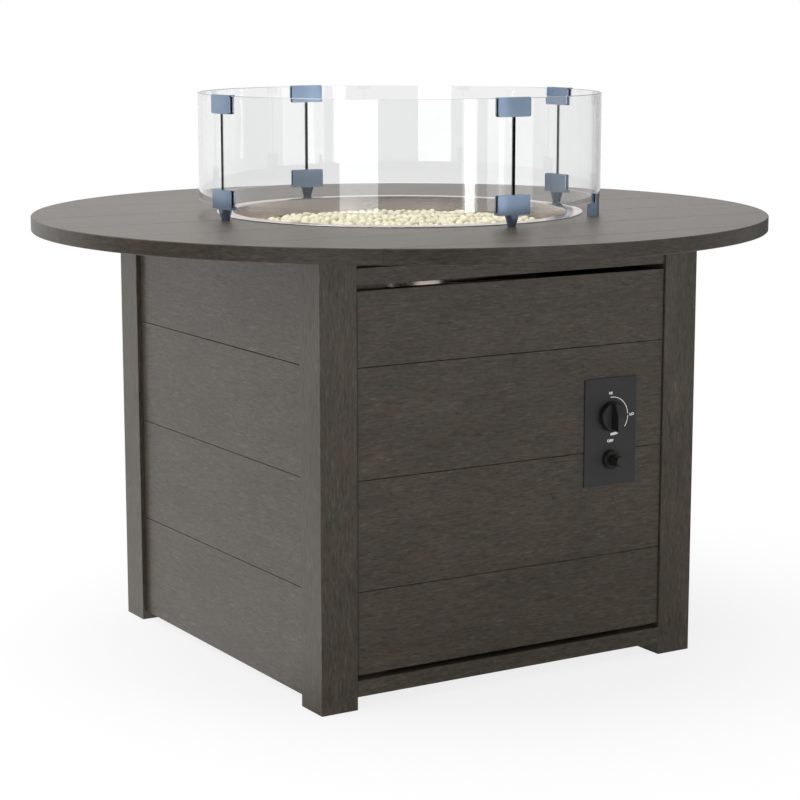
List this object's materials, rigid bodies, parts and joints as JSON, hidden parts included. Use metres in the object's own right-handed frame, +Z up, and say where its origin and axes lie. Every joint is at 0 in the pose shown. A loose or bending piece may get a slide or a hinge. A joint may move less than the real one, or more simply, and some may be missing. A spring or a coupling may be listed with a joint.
{
  "type": "fire pit table",
  "caption": "Round fire pit table on a square boarded cabinet with a door, a dropped-in burner pan of pebbles, a curved glass wind guard and a control plate.",
  "frame": {"origin": "the middle of the footprint, on the ground under the posts", "axes": "+Z is up, the door and its controls face -Y, and the boards of the table top run along X"},
  "size_m": [1.2192, 1.2192, 0.9233],
  "materials": {
    "boards": "brushed wood grain",
    "stainless": "brushed",
    "steel": "plain",
    "brown_steel": "satin",
    "black_steel": "powder coat",
    "charcoal": "fine powder coat",
    "black_plastic": "satin",
    "button_plastic": "gloss",
    "brass": "machined",
    "ceramic": "glazed",
    "pebbles": "smooth",
    "rubber": "matte",
    "glass": "clear tempered",
    "clip_metal": "satin"
  },
  "bodies": {
    "cabinet": {"batten_screws": "steel", "burner_deck": "stainless", "burner_inlet": "brass", "burner_pan": "stainless", "catch_magnets": "steel", "floor_board": "boards", "floor_cleats": "boards", "front_bottom_rail": "boards", "front_top_rail": "boards", "hinge_frame_leaf": "brown_steel", "hinge_pin": "brown_steel", "hinge_stile": "boards", "latch_stile": "boards", "left_panel_boards": "boards", "outer_cleats": "boards", "panel_battens": "boards", "pebble_bed": "pebbles", "post_front_left": "boards", "post_front_right": "boards", "post_rear_left": "boards", "post_rear_right": "boards", "rear_panel_boards": "boards", "right_panel_boards": "boards", "ring_burner": "stainless", "spark_electrode": "ceramic", "top_board_1": "boards", "top_board_2": "boards", "top_board_3": "boards", "top_board_4_left": "boards", "top_board_4_right": "boards", "top_board_5_left": "boards", "top_board_5_right": "boards", "top_board_6": "boards", "top_board_7": "boards", "top_board_8": "boards", "top_cleats": "boards", "top_straps": "black_steel"},
    "door": {"door_board_1": "boards", "door_board_2": "boards", "door_board_3": "boards", "door_board_4": "boards", "door_batten_left": "boards", "door_batten_right": "boards", "hinge_door_leaf": "brown_steel", "catch_plates": "steel", "control_plate": "charcoal", "gas_valve": "brass", "igniter_housing": "black_plastic"},
    "valve_stem": {"valve_stem": "steel"},
    "control_knob": {"control_knob": "black_plastic"},
    "igniter_button": {"igniter_button": "button_plastic"},
    "wind_guard": {"glass_front_right": "glass", "glass_rear_right": "glass", "glass_rear_left": "glass", "glass_front_left": "glass", "glass_seals": "rubber", "top_clips": "clip_metal", "bottom_clips": "clip_metal", "clip_liners": "rubber", "middle_foot": "clip_metal"}
  },
  "joints": [
    {"name": "door_hinge", "type": "hinge", "parent": "cabinet", "child": "door", "pos_m": [-0.2869, -0.3491, 0.35], "axis": [0, 0, -1], "range_deg": [0, 110]},
    {"name": "valve_push", "type": "slide", "parent": "door", "child": "valve_stem", "axis": [0, 1, 0], "range_m": [0, 0.003], "stiffness_N_per_m": 600},
    {"name": "knob_turn", "type": "hinge", "parent": "valve_stem", "child": "control_knob", "pos_m": [0.1836, -0.36, 0.4125], "axis": [0, -1, 0], "range_deg": [0, 180]},
    {"name": "igniter_push", "type": "slide", "parent": "door", "child": "igniter_button", "axis": [0, 1, 0], "range_m": [0, 0.004], "stiffness_N_per_m": 500},
    {"name": "guard_lift", "type": "slide", "parent": "cabinet", "child": "wind_guard", "axis": [0, 0, 1], "range_m": [0, 0.25]}
  ]
}
